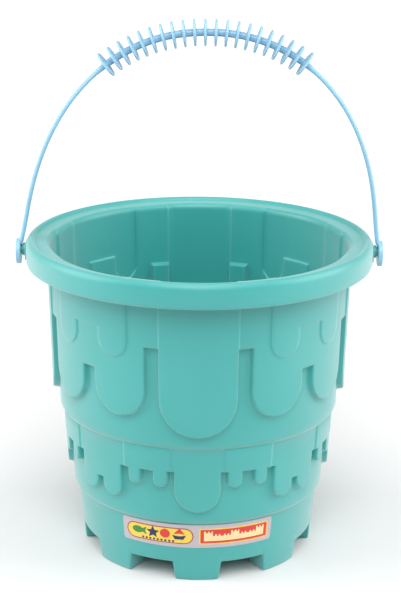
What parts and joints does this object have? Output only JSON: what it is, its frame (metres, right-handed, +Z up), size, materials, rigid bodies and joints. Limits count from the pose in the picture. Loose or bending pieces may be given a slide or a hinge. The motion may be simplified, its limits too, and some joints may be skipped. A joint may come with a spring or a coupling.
{
  "type": "sand bucket",
  "caption": "Toy sand bucket with a three-tier castle relief, hollow merlon feet, a rolled rim and a finned swing handle.",
  "frame": {"origin": "on the ground, in the middle between the eight feet", "axes": "+Z up along the bucket's axis, X along the handle's pivot line, the label faces -Y"},
  "size_m": [0.2434, 0.23, 0.357],
  "materials": {
    "bucket": "satin moulded polypropylene",
    "handle": "satin moulded polypropylene",
    "label": "printed film sticker"
  },
  "bodies": {
    "bucket": {"bucket_body": "bucket", "label": "label"},
    "handle": {"handle": "handle"}
  },
  "joints": [
    {"name": "handle_swing", "type": "hinge", "parent": "bucket", "child": "handle", "pos_m": [0, 0, 0.2034], "axis": [1, 0, 0], "range_deg": [-131, 131]}
  ]
}
